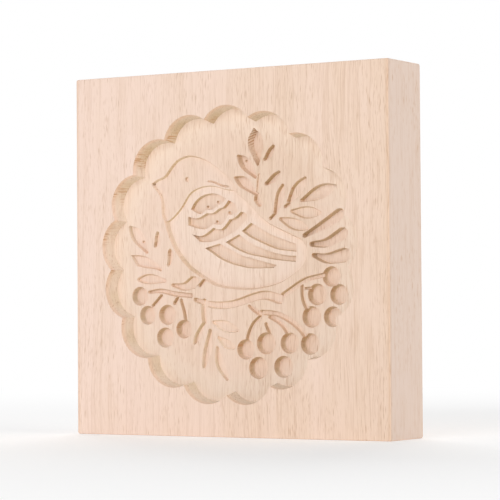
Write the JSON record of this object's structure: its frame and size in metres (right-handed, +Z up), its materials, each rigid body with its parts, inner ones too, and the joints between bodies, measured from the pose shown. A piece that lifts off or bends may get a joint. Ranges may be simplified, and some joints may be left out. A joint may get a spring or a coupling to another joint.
{
  "type": "cookie mould",
  "caption": "Square block of pale beech with a sunk scalloped medallion, carved with a bird on a branch of leaves and berries, for pressing cookie dough.",
  "frame": {"origin": "middle of the bottom edge face that the block stands on", "axes": "+Z up along the block's height and the grain, -Y out of the carved face, +X to the right of the carving seen from the front"},
  "size_m": [0.12, 0.022, 0.12],
  "materials": {
    "beech": "bare sanded beech, unoiled, fine flecks of ray"
  },
  "bodies": {
    "root": {"carved_block": "beech"}
  },
  "joints": []
}
